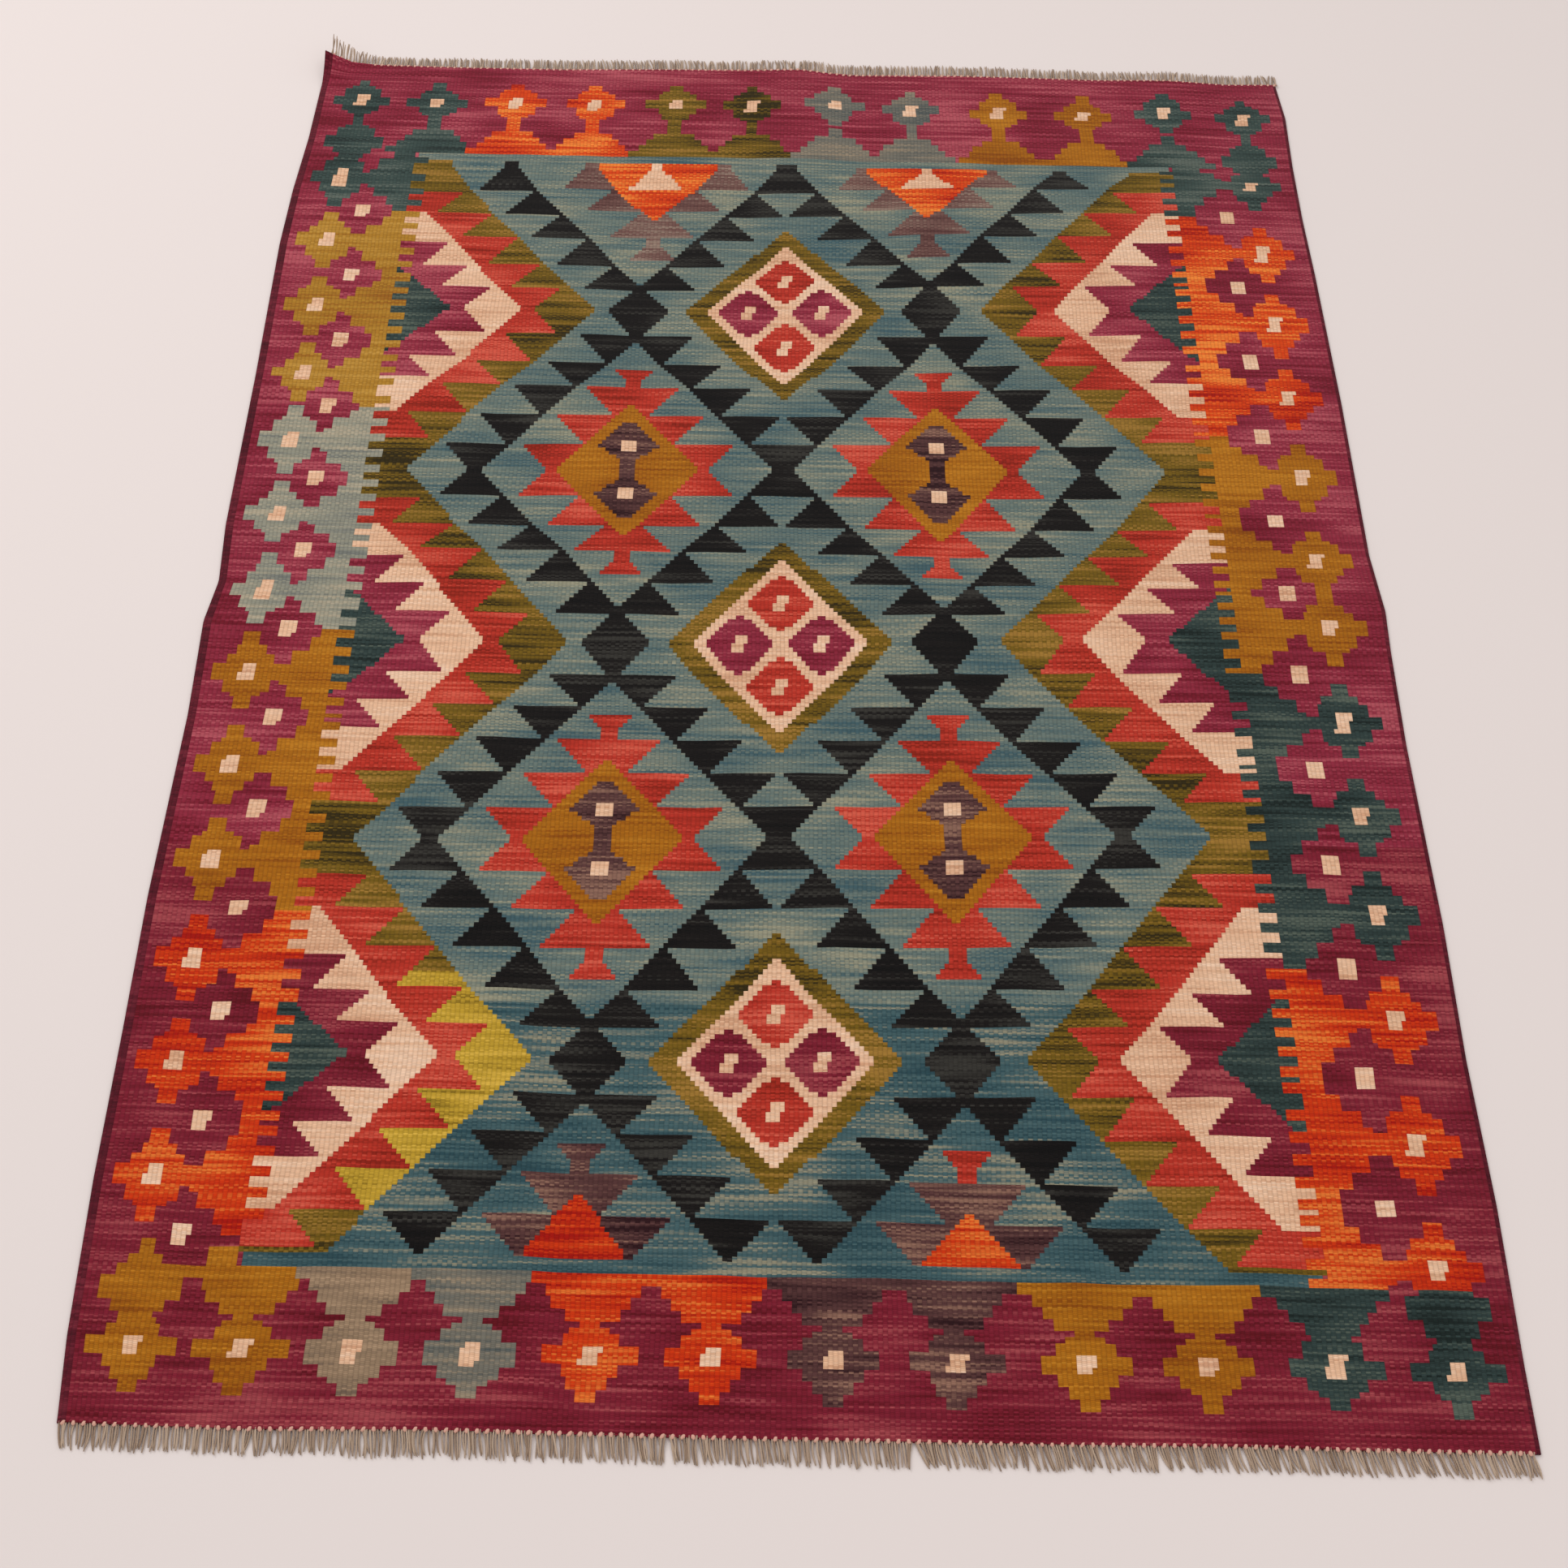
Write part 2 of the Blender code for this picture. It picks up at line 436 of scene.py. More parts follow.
def paintFlower(atU, atV, yarn, eye=True, slant=0.2, tall=1.0, wide=1.0, area=True):
    du, dv = np.abs(u - atU), np.abs(v - atV)
    for halfHeight, halfWidth in flowerTiers:
        paint(area & (dv < halfHeight * tall) & (du < halfWidth * wide), yarn)
    if eye:
        paint((np.abs(u - atU - slant * (v - atV)) < 0.9) & (dv < 1.05 * tall), "ivory")


leftFlowers = (
    # y, yarn
    (1.283, "greyTeal"), (1.188, "amber"), (1.095, "amber"), (1.003, "amber"), (0.915, "mist"),
    (0.824, "mist"), (0.736, "mist"), (0.644, "gold"), (0.550, "gold"), (0.458, "gold"),
    (0.364, "flame"), (0.276, "flame"), (0.182, "flame"),
)

rightFlowers = (
    (1.301, "greyTeal"), (1.204, "orange"), (1.106, "orange"), (1.005, "orange"), (0.902, "gold"),
    (0.801, "gold"), (0.722, "gold"), (0.621, "darkTeal"), (0.524, "darkTeal"), (0.428, "darkTeal"),
    (0.333, "flame"), (0.230, "flame"), (0.127, "flame"),
)

sideBorder = {
    "leftFlower": -63.4,
    "leftEye": -59.6,
    "rightFlower": 67.3,
    "rightEye": 63.0,
    # reach of the half flowers that lie against the field: half height, reach
    "halfFlower": ((1.3, 6.0), (2.8, 5.3), (4.2, 3.4), (9.0, 2.0)),
}


def strayed(x, y):  # how far the weft lies above or below its place in the middle
    x, y = np.broadcast_arrays(x, y)
    levels = [level for level in weftRise if level != "x"]
    rises = [np.interp(x, weftRise["x"], weftRise[level]) for level in levels]
    total = np.zeros(x.shape)
    for low, high, lowRise, highRise in zip(levels[:-1], levels[1:], rises[:-1], rises[1:]):
        share = np.clip((y - low) / (high - low), 0, 1)
        total = np.where((y >= low) & (y <= high), lowRise + (highRise - lowRise) * share, total)
    return total


def rowAt(x, y):  # the chart's row at a place on the rug
    return np.interp(y - strayed(x, y), column(rowPlaces, 1), column(rowPlaces, 0))


def columnAt(x):
    return (x - chart["middle"]) / chart["step"]


def paintSideBorders():
    for flowers, side in ((leftFlowers, -1), (rightFlowers, 1)):
        joint = chart["leftJoint"] if side < 0 else chart["rightJoint"]
        flowerColumn = sideBorder["leftFlower" if side < 0 else "rightFlower"]
        eyeColumn = sideBorder["leftEye" if side < 0 else "rightEye"]
        edge = joint[0] if side < 0 else joint[1]
        x = chart["middle"] + flowerColumn * chart["step"]
        rows = [rowAt(x, y) for y, _ in flowers]
        for number, (y, yarn) in enumerate(flowers):
            row = rows[number]
            above = rows[number - 1] if number else row + 10
            below = rows[number + 1] if number + 1 < len(rows) else row - 10.5
            mine = (v < (row + above) / 2) & (v >= (row + below) / 2) & (v > chart["nearGuard"][0])
            reach = side * (u - edge)
            for halfHeight, width in sideBorder["halfFlower"]:
                width = width * (1.0 if side < 0 else 1.1)
                paint(mine & (np.abs(v - row) < halfHeight) & (reach >= 0) & (reach < width), yarn)
            finger = (np.floor((v - row) / chart["finger"]) % 2 == 0) & mine
            paint(finger & (u > joint[0]) & (u < joint[1]), yarn)
            aboveGuard = v > chart["nearGuard"][0]
            paintFlower(flowerColumn, row, yarn, wide=0.95 if side < 0 else 1.08, area=aboveGuard)
            eyeRow = (row + below) / 2
            if eyeRow < chart["nearGuard"][1]:
                continue
            du = u - eyeColumn - 0.15 * (v - eyeRow)
            paint((np.abs(du) < 0.9) & (np.abs(v - eyeRow) < 0.95), "ivory")


nearFlowers = (
    # x, y, yarn
    (0.037, 0.054, "gold"), (0.114, 0.054, "gold"), (0.189, 0.053, "stone"),
    (0.270, 0.053, "slate"), (0.353, 0.054, "flame"), (0.436, 0.054, "flame"),
    (0.520, 0.054, "plum"), (0.606, 0.054, "plum"), (0.695, 0.054, "gold"),
    (0.780, 0.056, "gold"), (0.869, 0.057, "darkTeal"), (0.954, 0.056, "darkTeal"),
)

farFlowers = (
    (0.037, 1.409, "greyTeal"), (0.116, 1.408, "greyTeal"), (0.197, 1.410, "orange"),
    (0.278, 1.410, "orange"), (0.362, 1.411, "olive"), (0.441, 1.411, "olive"),
    (0.527, 1.416, "slate"), (0.606, 1.411, "slate"), (0.697, 1.411, "gold"),
    (0.786, 1.410, "gold"), (0.871, 1.416, "greyTeal"), (0.954, 1.412, "greyTeal"),
)

capTiers = (
    # rows from the guard line, half width
    (0.9, 6.4),
    (1.8, 4.9),
    (2.9, 4.0),
    (3.9, 2.8),
    (5.6, 0.95),
)


cornerGold = (
    # first and last column, first and last row of the gold that joins the near left corner to the field
    (-65.6, -56.6, -68.1, -66.8),
    (-56.6, -53.3, -66.8, -65.2),
)


def paintEndBorders():
    for flowers, guard, away in (
        (nearFlowers, chart["nearGuard"][0], -1),
        (farFlowers, chart["farGuard"][1], 1),
    ):
        beyondGuard = away * (v - guard) > 0
        for number, (x, y, yarn) in enumerate(flowers):
            atU, atV = columnAt(x), rowAt(x, y)
            if number in (0, len(flowers) - 1):
                # The corners have a whole flower, which only passes the guard where it is free to
                area = beyondGuard if away < 0 and number else True
                fromGuard = 2.0 if away < 0 and not number else 1.6
                paintFlower(atU, guard + away * fromGuard, yarn, eye=False, tall=0.95, area=area)
                stem = (np.abs(u - atU) < 0.95) & (np.abs(v - (guard + away * 5)) < 3)
                paint(stem, yarn)
            else:
                start = 0.0
                depth = away * (v - guard)
                for rows, halfWidth in capTiers:
                    here = (depth >= start) & (depth < rows) & (np.abs(u - atU) < halfWidth)
                    paint(here, yarn)
                    start = rows
            paintFlower(atU, atV, yarn, tall=0.8, wide=1.05 if away < 0 else 0.98, slant=0.3)
    for left, right, low, high in cornerGold:
        paint((u > left) & (u < right) & (v > low) & (v < high), "gold")


def dyeFarMaroon():
    # The maroon of the middle and the far end came from a warmer dye bath
    madderFrom = -24
    pattern[(pattern == yarnNumber["maroon"]) & (v > madderFrom)] = yarnNumber["madder"]


def paintSelvedges():
    paint((u < chart["leftColumn"] + 1) | (u > chart["rightColumn"] - 0.5), "selvedge")


paintField()
paintLattice()
paintCells()
paintMedallions()
paintZigzags()
paintGuards()
paintEndBorders()
paintSideBorders()
paintSelvedges()
dyeFarMaroon()
print("chart painted:", pattern.shape, "cells")


def ripple(*phases):  # a smooth wandering value between about -1 and 1
    return sum(np.sin(phase) for phase in phases) / len(phases)


def clothPoints(columnsAt, rowsAt):
    # Places of the chart's grid points on the rug, from their column and row
    x = chart["middle"] + columnsAt * chart["step"]
    y = np.interp(rowsAt, column(rowPlaces, 0), column(rowPlaces, 1))
    y = y + strayed(x, y)
    share = y / cloth["length"]
    y = y - (1 - share) ** 8 * endOut(x, 1) + share**8 * endOut(x, 2)
    inward = np.clip(1 - np.abs(columnsAt - chart["leftColumn"]) / 14, 0, 1) ** 1.5
    leftLine = chart["middle"] + chart["leftColumn"] * chart["step"]
    x = x + inward * (-sideOut(y, 1) - leftLine)
    inward = np.clip(1 - np.abs(columnsAt - chart["rightColumn"]) / 14, 0, 1) ** 1.5
    rightLine = chart["middle"] + chart["rightColumn"] * chart["step"]
    x = x + inward * (cloth["width"] + sideOut(y, 2) - rightLine)
    fromSides = np.minimum(columnsAt - chart["leftColumn"], chart["rightColumn"] - columnsAt)
    fromEnds = np.minimum(rowsAt - chart["nearRow"], chart["farRow"] - rowsAt)
    calm = np.clip(fromSides / 6, 0, 1)
    calm = calm * np.clip(fromEnds / 6, 0, 1)
    x = x + calm * cloth["wander"] * ripple(y * 61 + x * 9, y * 143 + x * 23 + 1, y * 23 + 2)
    y = y + calm * cloth["wander"] * 1.6 * ripple(x * 47 + y * 7, x * 97 + y * 13 + 2, x * 19 + 4)
    return x, y


def raised(x, y, depth):
    # A point this far above the underside, following the curl
    lift, slopeX, slopeY = curlLift(x, y)
    size = np.sqrt(slopeX**2 + slopeY**2 + 1)
    worldX, worldY = toFloor(x - depth * slopeX / size, y - depth * slopeY / size)
    return np.stack([worldX, worldY, lift + depth / size], axis=-1)


def srgbToLinear(colour):
    colour = np.asarray(colour, float) / 255
    return np.where(colour <= 0.04045, colour / 12.92, ((colour + 0.055) / 1.055) ** 2.4)


def weaveCloth():
    # Cells of one yarn in a row are one face, with a cut now and then to keep faces short
    cuts = np.zeros((picks, warps + 1), bool)
    cuts[:, 1:-1] = pattern[:, 1:] != pattern[:, :-1]
    cuts[:, ::cloth["longestFace"]] = True
    cuts[:, [0, 1, -2, -1]] = True
    needed = np.zeros((picks + 1, warps + 1), bool)
    needed[:-1] |= cuts
    needed[1:] |= cuts
    index = np.full(needed.shape, -1)
    index[needed] = np.arange(needed.sum())
    rowOf, columnOf = np.nonzero(needed)
    x, y = clothPoints(columnLines[columnOf], rowLines[rowOf])
    unevenness = ripple(x * 31 + y * 11, y * 27 - x * 8 + 1, x * 13 + y * 41)
    depth = cloth["thickness"] + cloth["swell"] * unevenness
    onEdge = (columnOf == 0) | (columnOf == warps)
    nextEdge = (columnOf == 1) | (columnOf == warps - 1)
    depth = np.where(onEdge, cloth["selvedgeThickness"], np.where(nextEdge, depth - 0.0002, depth))
    top = raised(x, y, depth)
    bottom = raised(x, y, np.zeros_like(depth))
    count = len(x)

    faces, yarnOf = [], []
    for row in range(picks):
        stops = np.nonzero(cuts[row])[0]
        for start, stop in zip(stops[:-1], stops[1:]):
            near = index[row, start:stop + 1]
            far = index[row + 1, start:stop + 1][::-1]
            ring = [int(k) for k in (*near[near >= 0], *far[far >= 0])]
            faces.append(ring)
            yarnOf.append(pattern[row, start])
    frontFaces = len(faces)
    for ring in faces[:frontFaces]:
        faces.append([k + count for k in reversed(ring)])
    yarnOf = yarnOf + yarnOf

    def wall(line, yarnLine):
        for a, b, yarn in zip(line[:-1], line[1:], yarnLine):
            faces.append([int(a), int(a + count), int(b + count), int(b)])
            yarnOf.append(yarn)

    def edgeLine(indexes, yarnsAlong):
        keep = np.nonzero(indexes >= 0)[0]
        return indexes[keep], [yarnsAlong[min(k, len(yarnsAlong) - 1)] for k in keep]

    near, nearYarn = edgeLine(index[0], pattern[0])
    wall(near, nearYarn)
    right, rightYarn = edgeLine(index[:, -1], pattern[:, -1])
    wall(right, rightYarn)
    far, farYarn = edgeLine(index[-1], pattern[-1])
    wall(far[::-1], farYarn[::-1])
    left, leftYarn = edgeLine(index[:, 0], pattern[:, 0])
    wall(left[::-1], leftYarn[::-1])

    mesh = bpy.data.meshes.new("kilimWeave")
    mesh.from_pydata(np.concatenate([top, bottom]).tolist(), [], faces)
    mesh.update()
    loopsOf = np.array([len(ring) for ring in faces])
    loopYarn = np.repeat(np.array(yarnOf), loopsOf)
    vertexOf = np.concatenate([np.array(ring) for ring in faces]) % count
    for lot, name in enumerate(("yarnPale", "yarnMiddle", "yarnDeep")):
        dyes = np.array([[*srgbToLinear(lots[lot]), 1.0] for lots in yarns.values()])
        layer = mesh.color_attributes.new(name, "FLOAT_COLOR", "CORNER")
        layer.data.foreach_set("color", dyes[loopYarn].astype(np.float32).ravel())
    number = mesh.attributes.new("yarnNumber", "FLOAT", "CORNER")
    number.data.foreach_set("value", loopYarn.astype(np.float32))
    weave = mesh.uv_layers.new(name="weave")
    places = np.stack([columnOf[vertexOf], rowOf[vertexOf]], axis=1).astype(np.float32)
    weave.data.foreach_set("uv", places.ravel())
    mesh.shade_smooth()
    mesh.set_sharp_from_angle(angle=math.radians(50))
    piece = bpy.data.objects.new("kilimWeave", mesh)
    bpy.context.scene.collection.objects.link(piece)
    triangles = int((loopsOf - 2).sum())
    print("cloth woven:", len(faces), "faces,", triangles, "triangles")
    return piece


kilim = weaveCloth()


def newMaterial(name):
    material = bpy.data.materials.new(name)
    material.use_nodes = True
    nodes = material.node_tree.nodes
    return material, nodes, material.node_tree.links, nodes["Principled BSDF"]


def mathNode(nodes, links, operation, first, second=None, third=None):
    node = nodes.new("ShaderNodeMath")
    node.operation = operation
    for socket, value in zip(node.inputs, (first, second, third)):
        if value is None:
            continue
        if isinstance(value, (int, float)):
            socket.default_value = value
        else:
            links.new(value, socket)
    return node.outputs[0]


wool = {
    "roughness": 0.92,
    "sheen": 0.05,
    "sheenRoughness": 0.5,
    "specular": 0.12,
    "weftsPerRow": 3,
    "bump": 0.6,
    "bumpDepth": 0.0008,
    "patches": 1.7,  # how much the dye changes from place to place
    "patchScale": (9.0, 16.0),  # changes in a metre, across and along
    "streaks": 1.3,  # from one band of wefts to the next
    "streakScale": (11.0, 290.0),
    "picks": 1.2,  # and from pick to pick
    "pickScale": (14.0, 0.45),
    "middleLot": (0.45, 0.55),  # between these all yarn is of the middle dye lot
    "ribHeight": 0.75,
    "archHeight": 0.35,
    "grainHeight": 0.15,
    "archShade": (0.24, 0.80),
    "grainShade": (0.16, 0.92),
}


def makeWool():
    material, nodes, links, shader = newMaterial("kilimWool")

    def m(operation, *values):
        return mathNode(nodes, links, operation, *values)

    weave = nodes.new("ShaderNodeUVMap")
    weave.uv_map = "weave"
    split = nodes.new("ShaderNodeSeparateXYZ")
    links.new(weave.outputs[0], split.inputs[0])
    across, along = split.outputs[0], split.outputs[1]

    number = nodes.new("ShaderNodeAttribute")
    number.attribute_name = "yarnNumber"
    place = nodes.new("ShaderNodeTexCoord")
    spread = nodes.new("ShaderNodeSeparateXYZ")
    links.new(place.outputs["Object"], spread.inputs[0])

    # wefts: each goes over one warp and under the next, so a pick shows on every other warp
    warp = m("FLOOR", across)
    odd = m("MODULO", warp, 2.0)
    weft = m("MULTIPLY_ADD", along, float(wool["weftsPerRow"]), m("MULTIPLY", odd, 0.5))
    pick = m("MULTIPLY_ADD", m("FLOOR", weft), 2.0, odd)

    def noise(xScale, yScale, seed, detail, y=spread.outputs[1]):
        joined = nodes.new("ShaderNodeCombineXYZ")
        links.new(m("MULTIPLY", spread.outputs[0], xScale), joined.inputs[0])
        links.new(m("MULTIPLY", y, yScale), joined.inputs[1])
        links.new(m("MULTIPLY_ADD", number.outputs["Fac"], 3.7, seed), joined.inputs[2])
        node = nodes.new("ShaderNodeTexNoise")
        node.inputs["Scale"].default_value = 1.0
        node.inputs["Detail"].default_value = detail
        links.new(joined.outputs[0], node.inputs["Vector"])
        return m("SUBTRACT", node.outputs["Fac"], 0.5)

    lot = m("MULTIPLY", noise(*wool["patchScale"], 0.0, 2.0), wool["patches"])
    lot = m("ADD", lot, m("MULTIPLY", noise(*wool["streakScale"], 20.0, 1.0), wool["streaks"]))
    lot = m("ADD", lot, m("MULTIPLY", noise(*wool["pickScale"], 40.0, 0.0, y=pick), wool["picks"]))
    lot = m("ADD", lot, 0.5)
    pale, middle, deep = (nodes.new("ShaderNodeVertexColor") for _ in range(3))
    pale.layer_name, middle.layer_name, deep.layer_name = "yarnPale", "yarnMiddle", "yarnDeep"

    def blend(low, high, first, second):
        share = nodes.new("ShaderNodeMapRange")
        share.inputs["From Min"].default_value = low
        share.inputs["From Max"].default_value = high
        links.new(lot, share.inputs["Value"])
        mix = nodes.new("ShaderNodeMix")
        mix.data_type = "RGBA"
        colourA, colourB, colourOut = 6, 7, 2  # the sockets of a Mix node that takes colours
        links.new(share.outputs[0], mix.inputs["Factor"])
        links.new(first, mix.inputs[colourA])
        links.new(second, mix.inputs[colourB])
        return mix.outputs[colourOut]

    paleTo, deepFrom = wool["middleLot"]
    dye = blend(0.0, paleTo, pale.outputs[0], middle.outputs[0])
    dye = blend(deepFrom, 1.0, dye, deep.outputs[0])

    rib = m("POWER", m("ABSOLUTE", m("SINE", m("MULTIPLY", across, math.pi))), 0.6)
    arch = m("POWER", m("ABSOLUTE", m("SINE", m("MULTIPLY", weft, math.pi))), 0.7)
    grainPlace = nodes.new("ShaderNodeCombineXYZ")
    links.new(warp, grainPlace.inputs[0])
    links.new(m("FLOOR", weft), grainPlace.inputs[1])
    grain = nodes.new("ShaderNodeTexWhiteNoise")
    grain.noise_dimensions = "2D"
    links.new(grainPlace.outputs[0], grain.inputs["Vector"])

    ribbed = m("MULTIPLY", rib, wool["ribHeight"])
    height = m("ADD", ribbed, m("MULTIPLY", arch, wool["archHeight"]))
    height = m("ADD", height, m("MULTIPLY", grain.outputs["Value"], wool["grainHeight"]))
    shadow = m("MULTIPLY_ADD", m("MULTIPLY", rib, arch), *wool["archShade"])
    shade = m("MULTIPLY", shadow, m("MULTIPLY_ADD", grain.outputs["Value"], *wool["grainShade"]))

    shaded = nodes.new("ShaderNodeVectorMath")
    shaded.operation = "SCALE"
    links.new(dye, shaded.inputs[0])
    links.new(shade, shaded.inputs["Scale"])
    links.new(shaded.outputs[0], shader.inputs["Base Color"])

    bump = nodes.new("ShaderNodeBump")
    bump.inputs["Strength"].default_value = wool["bump"]
    bump.inputs["Distance"].default_value = wool["bumpDepth"]
    links.new(height, bump.inputs["Height"])
    links.new(bump.outputs[0], shader.inputs["Normal"])
    shader.inputs["Roughness"].default_value = wool["roughness"]
    shader.inputs["Sheen Weight"].default_value = wool["sheen"]
    shader.inputs["Sheen Roughness"].default_value = wool["sheenRoughness"]
    shader.inputs["Specular IOR Level"].default_value = wool["specular"]
    return material


kilim.data.materials.append(makeWool())
print("wool dyed")


fringe = {
    "yarnRadius": 0.00072,
    "yarnsPerWarp": 2,
    "sides": 5,
    "bends": 5,
    "yarnGap": 0.0016,
    "gapChange": 0.0004,
    "tipSpread": 0.0011,
    "sway": 0.0007,
    "overlap": 0.0012,  # the length that runs back to the cloth
    "stack": 0.0011,  # how high yarns lie on each other
    "rise": 0.0009,  # extra height where they leave the cloth
    "clumpEdge": 0.0008,
    "knotWidth": 0.0036,
    "knotLength": 0.0040,
    "knotHeight": 0.0012,
    "seed": 11,
}

nearClumps = (
    # fromLeft, to, length, lean
    (0.001, 0.126, 0.0180, 0.001),
    (0.133, 0.186, 0.0175, 0.001),
    (0.190, 0.299, 0.0190, 0.002),
    (0.304, 0.404, 0.0190, 0.002),
    (0.413, 0.570, 0.0185, 0.002),
    (0.581, 0.736, 0.0180, 0.004),
    (0.743, 0.994, 0.0175, 0.004),
)

farClumps = (
    (0.002, 0.111, 0.0165, 0.000),
    (0.117, 0.274, 0.0185, -0.001),
    (0.280, 0.391, 0.0190, -0.002),
    (0.396, 0.486, 0.0180, -0.001),
    (0.491, 0.629, 0.0190, 0.000),
    (0.635, 0.786, 0.0190, 0.000),
    (0.791, 0.861, 0.0175, 0.000),
    (0.866, 0.983, 0.0180, 0.001),
    (0.988, 0.998, 0.0175, 0.001),
)


def clumpTip(x, clumps):
    # Where the yarn that starts at x ends: clumps draw together, away from the gaps
    bounds = [-0.02]
    bounds += [(before[1] + after[0]) / 2 for before, after in zip(clumps[:-1], clumps[1:])]
    bounds += [1.02]
    for (start, stop, length, lean), low, high in zip(clumps, bounds[:-1], bounds[1:]):
        if low <= x < high:
            edge = fringe["clumpEdge"]
            return min(max(x, start + edge), stop - edge) + lean, length
    return x, clumps[-1][2]


def endPoint(x, out, outward):
    # A place out from the cloth's end, on the rug's own coordinates
    if outward < 0:
        return -endOut(x, 1) - out
    return cloth["length"] + endOut(x, 2) + out


def tube(points, radius, tone, sideCount, store):
    # One yarn: rings of points about the line, closed at both ends
    rings = []
    for number, point in enumerate(points):
        ahead = points[min(number + 1, len(points) - 1)] - points[max(number - 1, 0)]
        ahead = ahead / np.linalg.norm(ahead)
        sideways = np.cross(ahead, (0, 0, 1.0))
        sideways /= np.linalg.norm(sideways)
        upward = np.cross(sideways, ahead)
        width = radius * (1.0 if number < len(points) - 1 else 0.55)
        first = len(store["points"])
        for side in range(sideCount):
            turn = 2 * math.pi * side / sideCount
            outwards = math.cos(turn) * sideways + math.sin(turn) * upward
            store["points"].append(point + width * outwards)
        rings.append(list(range(first, first + sideCount)))
    start = len(store["faces"])
    for low, high in zip(rings[:-1], rings[1:]):
        for side in range(sideCount):
            after = (side + 1) % sideCount
            store["faces"].append([low[side], low[after], high[after], high[side]])
    store["faces"].append(rings[0][::-1])
    store["faces"].append(rings[-1])
    store["tones"] += [tone] * (len(store["faces"]) - start)


def makeFringe(name, clumps, outward):
    random = np.random.default_rng(fringe["seed"] + (outward > 0))
    store = {"points": [], "faces": [], "tones": []}
    radius = fringe["yarnRadius"]
    left, right = 0.0, cloth["width"] - 0.003
    pairs = warps // 2
    for pair in range(pairs):
        middle = left + (pair + 0.5) / pairs * (right - left)
        for warp in range(2 * fringe["yarnsPerWarp"]):
            x = middle + (warp - 1.5) * fringe["yarnGap"]
            x += random.uniform(-fringe["gapChange"], fringe["gapChange"])
            x = min(max(x, left), right)
            tipX, length = clumpTip(x, clumps)
            tipX += random.normal(0, fringe["tipSpread"])
            length *= random.uniform(0.80, 1.04)
            sway = random.normal(0, fringe["sway"])
            stack = random.uniform(0, 1)
            points = []
            for bend in range(fringe["bends"] + 1):
                share = bend / fringe["bends"]
                alongX = x + (tipX - x) * share**1.3 + sway * math.sin(share * math.pi)
                out = -fringe["overlap"] + share * (length + fringe["overlap"])
                y = endPoint(x, out, outward)
                lift = float(curlLift(alongX, y)[0])
                height = radius + (1 - share) ** 2 * fringe["rise"]
                height += stack * fringe["stack"] * (1 - 0.4 * share)
                floorX, floorY = toFloor(alongX, y)
                points.append(np.array((floorX, floorY, lift + height)))
            yarnRadius = radius * random.uniform(0.8, 1.1)
            tube(points, yarnRadius, random.uniform(0, 1), fringe["sides"], store)
        addKnot(middle, outward, store, random)
    mesh = bpy.data.meshes.new(name)
    mesh.from_pydata([tuple(point) for point in store["points"]], [], store["faces"])
    mesh.update()
    corners = [len(face) for face in store["faces"]]
    tones = np.repeat(np.array(store["tones"], np.float32), corners)
    layer = mesh.attributes.new("tone", "FLOAT", "CORNER")
    layer.data.foreach_set("value", tones)
    mesh.shade_smooth()
    piece = bpy.data.objects.new(name, mesh)
    bpy.context.scene.collection.objects.link(piece)
    bpy.ops.object.select_all(action="DESELECT")
    bpy.context.view_layer.objects.active = piece
    piece.select_set(True)
    bpy.ops.object.mode_set(mode="EDIT")
    bpy.ops.mesh.select_all(action="SELECT")
    bpy.ops.mesh.normals_make_consistent(inside=False)
    bpy.ops.object.mode_set(mode="OBJECT")
    piece.select_set(False)
    print(name, "laid:", len(store["faces"]), "faces")
    return piece


def addKnot(x, outward, store, random):
    # The pale loop of a warp pair on the last weft: a low bead, flat below
    rings = ((-1.0, 0.15), (-0.55, 0.85), (0.0, 1.0), (0.55, 0.85), (1.0, 0.15))
    y = endPoint(x, -0.0002, outward)
    lift = float(curlLift(x, y)[0])
    centre = np.array((*toFloor(x, y), lift + cloth["thickness"] - 0.0006))
    slant = random.uniform(-0.2, 0.5)
    loops = []
    for along, size in rings:
        first = len(store["points"])
        for side in range(6):
            turn = 2 * math.pi * side / 6
            across = math.cos(turn) * size * fringe["knotWidth"] / 2
            up = math.sin(turn) * size * fringe["knotHeight"]
            place = along * fringe["knotLength"] / 2
            store["points"].append(centre + np.array((across + slant * place, place, up)))
        loops.append(list(range(first, first + 6)))
    start = len(store["faces"])
    for low, high in zip(loops[:-1], loops[1:]):
        for side in range(6):
            after = (side + 1) % 6
            store["faces"].append([low[side], low[after], high[after], high[side]])
    store["faces"].append(loops[0][::-1])
    store["faces"].append(loops[-1])
    store["tones"] += [2.0] * (len(store["faces"]) - start)


cotton = {
    "pale": (196, 172, 150),
    "deep": (142, 116, 96),
    "knot": (212, 160, 142),
    "deepAt": 0.10,
    "paleAt": 0.62,
    "knotAt": 0.80,
    "toneShare": 0.42,
    "fuzzScale": 900.0,
    "fuzz": 0.5,
    "bump": 0.4,
    "bumpDepth": 0.0003,
    "roughness": 0.9,
    "sheen": 0.1,
}


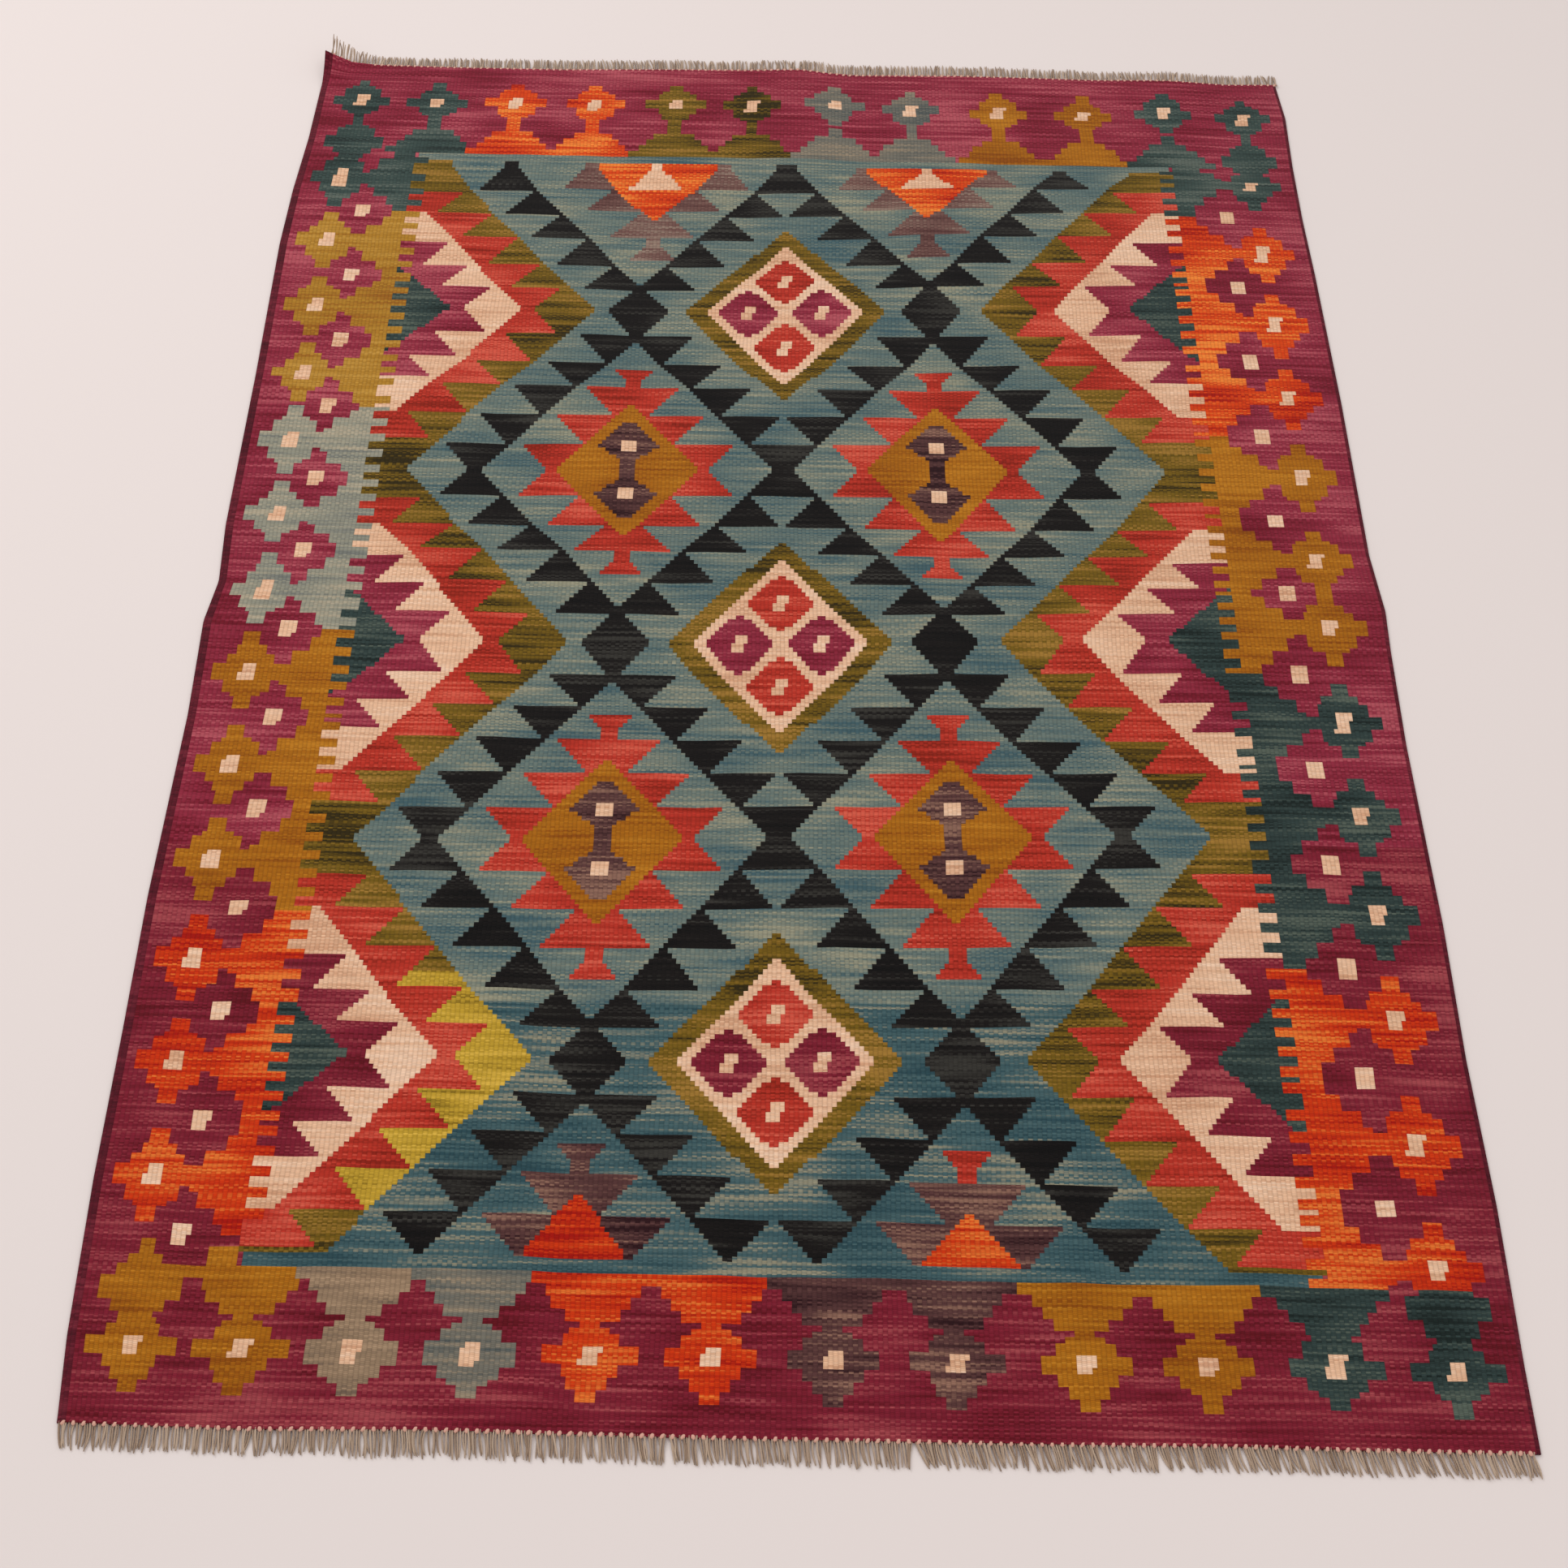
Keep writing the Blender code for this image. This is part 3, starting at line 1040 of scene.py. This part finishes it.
def makeCotton():
    material, nodes, links, shader = newMaterial("warpCotton")
    tone = nodes.new("ShaderNodeAttribute")
    tone.attribute_name = "tone"
    place = nodes.new("ShaderNodeTexCoord")
    fuzz = nodes.new("ShaderNodeTexNoise")
    fuzz.inputs["Scale"].default_value = cotton["fuzzScale"]
    fuzz.inputs["Detail"].default_value = 3.0
    links.new(place.outputs["Object"], fuzz.inputs["Vector"])
    fuzzy = mathNode(nodes, links, "MULTIPLY", fuzz.outputs["Fac"], cotton["fuzz"])
    mixed = mathNode(nodes, links, "ADD", fuzzy, tone.outputs["Fac"])
    ramp = nodes.new("ShaderNodeValToRGB")
    ramp.color_ramp.elements[0].position = cotton["deepAt"]
    ramp.color_ramp.elements[0].color = (*srgbToLinear(cotton["deep"]), 1)
    ramp.color_ramp.elements[1].position = cotton["paleAt"]
    ramp.color_ramp.elements[1].color = (*srgbToLinear(cotton["pale"]), 1)
    knot = ramp.color_ramp.elements.new(cotton["knotAt"])
    knot.color = (*srgbToLinear(cotton["knot"]), 1)
    toned = mathNode(nodes, links, "MULTIPLY", mixed, cotton["toneShare"])
    links.new(toned, ramp.inputs[0])
    links.new(ramp.outputs[0], shader.inputs["Base Color"])
    bump = nodes.new("ShaderNodeBump")
    bump.inputs["Strength"].default_value = cotton["bump"]
    bump.inputs["Distance"].default_value = cotton["bumpDepth"]
    links.new(fuzz.outputs["Fac"], bump.inputs["Height"])
    links.new(bump.outputs[0], shader.inputs["Normal"])
    shader.inputs["Roughness"].default_value = cotton["roughness"]
    shader.inputs["Sheen Weight"].default_value = cotton["sheen"]
    return material


nearFringe = makeFringe("nearFringe", nearClumps, -1)
farFringe = makeFringe("farFringe", farClumps, 1)
cottonMaterial = makeCotton()
for piece in (nearFringe, farFringe):
    piece.data.materials.append(cottonMaterial)


studio = {
    "floorColour": (229, 218, 215),
    "floorSize": 12.0,
    "floorRoughness": 0.95,
    "floorSpecular": 0.1,
    "worldColour": (1.0, 0.985, 0.97),
    "worldStrength": 0.72,
    "lamps": (
        # name, place, size, power
        ("softKey", (-1.9, 1.2, 2.6), 2.4, 38.0),
        ("softFill", (1.8, -1.4, 2.8), 2.4, 12.0),
    ),
    "cameraPlace": (0.4472, -0.5465, 1.5008),
    "cameraTurn": (35.995, -1.708, 0.514),
    "lens": 52.2,
    "sensor": 36.0,
}


def makeStudio():
    bpy.ops.object.select_all(action="DESELECT")
    bpy.ops.mesh.primitive_plane_add(size=studio["floorSize"], location=(0, 0, -0.0001))
    floor = bpy.context.object
    floor.name = "studioFloor"
    material, nodes, links, shader = newMaterial("studioPaper")
    shader.inputs["Base Color"].default_value = (*srgbToLinear(studio["floorColour"]), 1)
    shader.inputs["Roughness"].default_value = studio["floorRoughness"]
    shader.inputs["Specular IOR Level"].default_value = studio["floorSpecular"]
    floor.data.materials.append(material)
    world = bpy.data.worlds.new("studioWorld")
    world.use_nodes = True
    background = world.node_tree.nodes["Background"]
    background.inputs["Color"].default_value = (*studio["worldColour"], 1)
    background.inputs["Strength"].default_value = studio["worldStrength"]
    bpy.context.scene.world = world
    for name, place, size, power in studio["lamps"]:
        data = bpy.data.lights.new(name, "AREA")
        data.shape = "DISK"
        data.size = size
        data.energy = power
        lamp = bpy.data.objects.new(name, data)
        lamp.location = place
        lamp.rotation_euler = aimed(place, (0, 0, 0))
        bpy.context.scene.collection.objects.link(lamp)
    data = bpy.data.cameras.new("studioCamera")
    data.sensor_width = studio["sensor"]
    data.lens = studio["lens"]
    camera = bpy.data.objects.new("studioCamera", data)
    x, y, z = studio["cameraPlace"]
    camera.location = (*toFloor(x, y), z)
    camera.rotation_euler = Euler([math.radians(turn) for turn in studio["cameraTurn"]])
    bpy.context.scene.collection.objects.link(camera)
    bpy.context.scene.camera = camera
    bpy.context.scene.view_settings.view_transform = "Standard"


def aimed(place, target):
    return (Vector(target) - Vector(place)).to_track_quat("-Z", "Y").to_euler()


makeStudio()
print("studio set")

for piece, node, slot in (
    (kilim, "kilim_cloth", "kilim_wool"),
    (nearFringe, "fringe_near", "warp_cotton"),
    (farFringe, "fringe_far", "warp_cotton"),
):
    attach(piece, "root")
    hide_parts(node)
